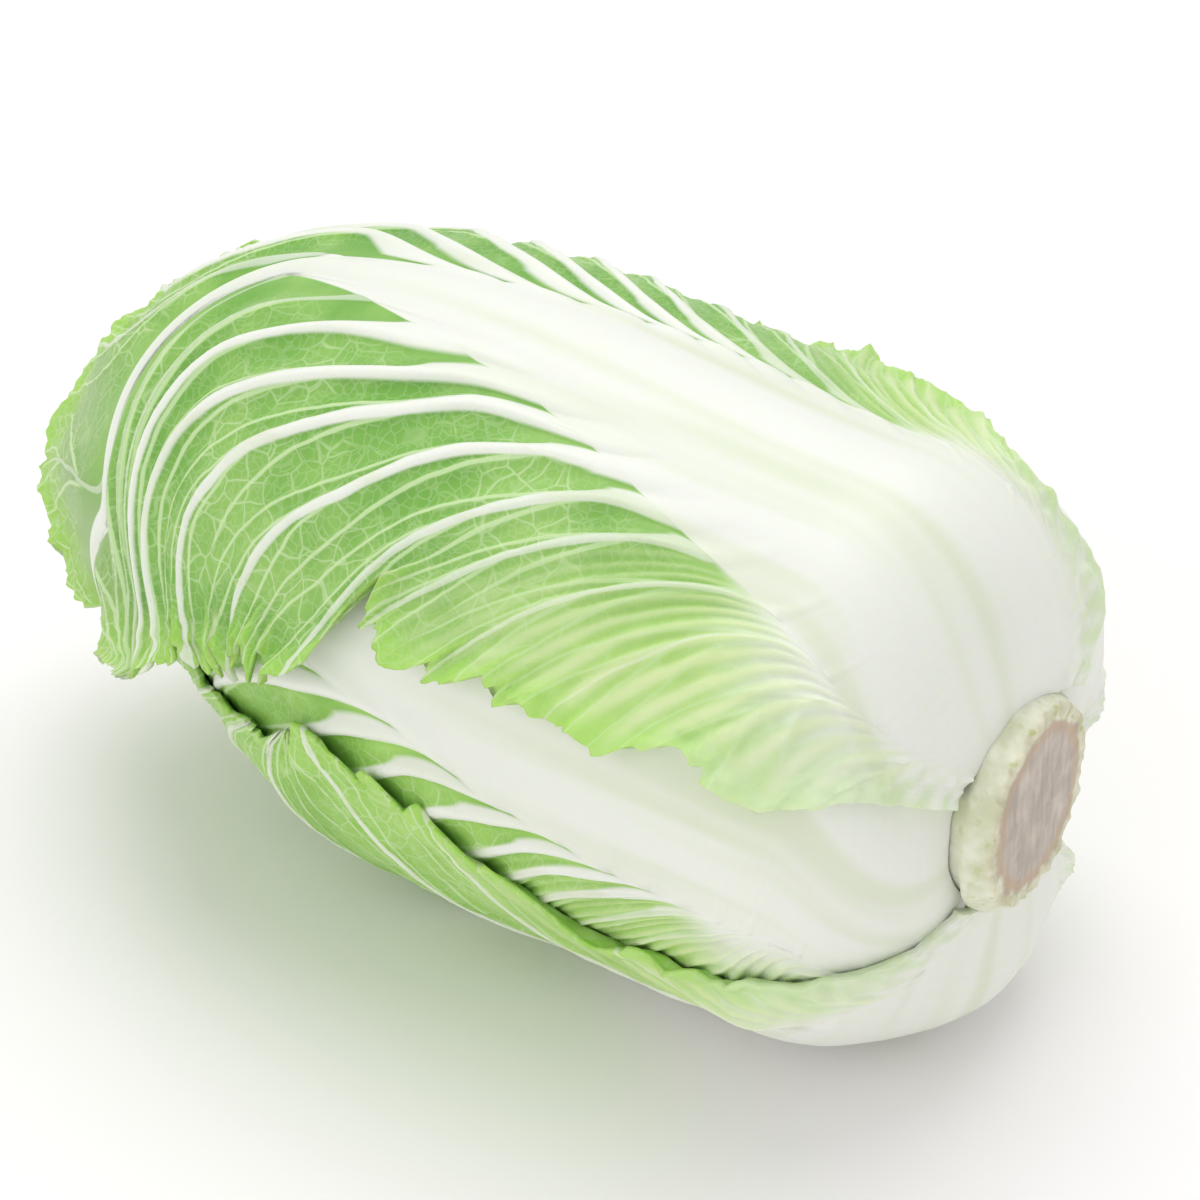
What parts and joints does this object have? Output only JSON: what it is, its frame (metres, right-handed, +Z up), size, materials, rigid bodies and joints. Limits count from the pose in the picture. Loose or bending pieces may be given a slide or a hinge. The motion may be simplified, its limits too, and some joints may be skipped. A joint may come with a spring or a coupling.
{
  "type": "napa cabbage",
  "caption": "Whole napa cabbage head lying on its side, with a cut stem, broad white ribs and frilled pale green leaves.",
  "frame": {"origin": "under the middle of the head's box, on the surface it lies on", "axes": "+X towards the cut stem, along the head; +Z up; the leaf tips are at -X"},
  "size_m": [0.3125, 0.172, 0.1667],
  "materials": {
    "leaf_green": "satin",
    "leaf_pale": "satin",
    "stem_cut": "matte"
  },
  "bodies": {
    "root": {"stem": "stem_cut", "heart": "leaf_pale", "leaf_top": "leaf_green", "leaf_under": "leaf_green", "leaf_back": "leaf_green", "leaf_front": "leaf_green", "leaf_rear": "leaf_green"}
  },
  "joints": []
}
